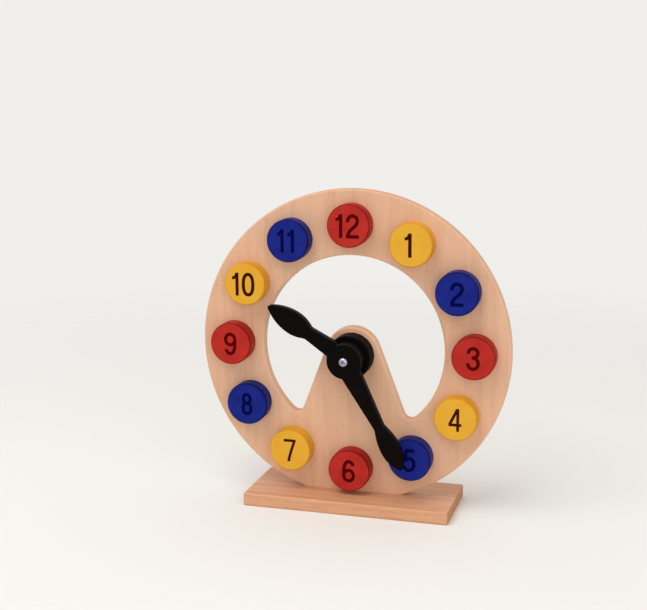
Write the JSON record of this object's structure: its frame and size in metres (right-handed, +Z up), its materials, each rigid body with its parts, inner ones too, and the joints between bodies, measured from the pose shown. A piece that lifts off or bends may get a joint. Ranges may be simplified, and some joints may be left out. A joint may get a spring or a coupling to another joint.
{
  "type": "teaching clock",
  "caption": "Upright wooden teaching clock: a ring on a flat base plank, removable number discs around the ring, and two hands that turn on a pillar in its window.",
  "frame": {"origin": "centre of the underside of the base plank, on the surface the clock stands on", "axes": "+Z up, +X to the viewer's right, -Y out of the dial towards the viewer"},
  "size_m": [0.17, 0.046, 0.1723],
  "materials": {
    "board_wood": "sanded, clear satin",
    "base_wood": "sanded, clear satin",
    "dowel_wood": "bare",
    "black_paint": "satin paint",
    "washer_plastic": "plain",
    "screw_steel": "nickel plated",
    "red_paint": "semi-gloss paint",
    "yellow_paint": "semi-gloss paint",
    "blue_paint": "semi-gloss paint"
  },
  "bodies": {
    "stand": {"base_plank": "base_wood", "dial_board": "board_wood", "hub_spacer": "black_paint", "hand_washer": "washer_plastic", "pivot_screw": "screw_steel"},
    "hour": {"hour_hand": "black_paint"},
    "minute": {"minute_hand": "black_paint"},
    "disc_1": {"number_disc_1": "yellow_paint", "disc_dowel_1": "dowel_wood"},
    "disc_2": {"number_disc_2": "blue_paint", "disc_dowel_2": "dowel_wood"},
    "disc_3": {"number_disc_3": "red_paint", "disc_dowel_3": "dowel_wood"},
    "disc_4": {"number_disc_4": "yellow_paint", "disc_dowel_4": "dowel_wood"},
    "disc_5": {"number_disc_5": "blue_paint", "disc_dowel_5": "dowel_wood"},
    "disc_6": {"number_disc_6": "red_paint", "disc_dowel_6": "dowel_wood"},
    "disc_7": {"number_disc_7": "yellow_paint", "disc_dowel_7": "dowel_wood"},
    "disc_8": {"number_disc_8": "blue_paint", "disc_dowel_8": "dowel_wood"},
    "disc_9": {"number_disc_9": "red_paint", "disc_dowel_9": "dowel_wood"},
    "disc_10": {"number_disc_10": "yellow_paint", "disc_dowel_10": "dowel_wood"},
    "disc_11": {"number_disc_11": "blue_paint", "disc_dowel_11": "dowel_wood"},
    "disc_12": {"number_disc_12": "red_paint", "disc_dowel_12": "dowel_wood"}
  },
  "joints": [
    {"name": "hour_hand_turn", "type": "hinge", "parent": "stand", "child": "hour", "pos_m": [0, -0.0141, 0.0836], "axis": [0, 1, 0], "continuous": true},
    {"name": "minute_hand_turn", "type": "hinge", "parent": "stand", "child": "minute", "pos_m": [0, -0.0191, 0.0836], "axis": [0, 1, 0], "continuous": true},
    {"name": "disc_1_pull", "type": "slide", "parent": "stand", "child": "disc_1", "axis": [0, -1, 0], "range_m": [0, 0.0038]},
    {"name": "disc_2_pull", "type": "slide", "parent": "stand", "child": "disc_2", "axis": [0, -1, 0], "range_m": [0, 0.0038]},
    {"name": "disc_3_pull", "type": "slide", "parent": "stand", "child": "disc_3", "axis": [0, -1, 0], "range_m": [0, 0.0038]},
    {"name": "disc_4_pull", "type": "slide", "parent": "stand", "child": "disc_4", "axis": [0, -1, 0], "range_m": [0, 0.0038]},
    {"name": "disc_5_pull", "type": "slide", "parent": "stand", "child": "disc_5", "axis": [0, -1, 0], "range_m": [0, 0.0038]},
    {"name": "disc_6_pull", "type": "slide", "parent": "stand", "child": "disc_6", "axis": [0, -1, 0], "range_m": [0, 0.0038]},
    {"name": "disc_7_pull", "type": "slide", "parent": "stand", "child": "disc_7", "axis": [0, -1, 0], "range_m": [0, 0.0038]},
    {"name": "disc_8_pull", "type": "slide", "parent": "stand", "child": "disc_8", "axis": [0, -1, 0], "range_m": [0, 0.0038]},
    {"name": "disc_9_pull", "type": "slide", "parent": "stand", "child": "disc_9", "axis": [0, -1, 0], "range_m": [0, 0.0038]},
    {"name": "disc_10_pull", "type": "slide", "parent": "stand", "child": "disc_10", "axis": [0, -1, 0], "range_m": [0, 0.0038]},
    {"name": "disc_11_pull", "type": "slide", "parent": "stand", "child": "disc_11", "axis": [0, -1, 0], "range_m": [0, 0.0038]},
    {"name": "disc_12_pull", "type": "slide", "parent": "stand", "child": "disc_12", "axis": [0, -1, 0], "range_m": [0, 0.0038]}
  ]
}
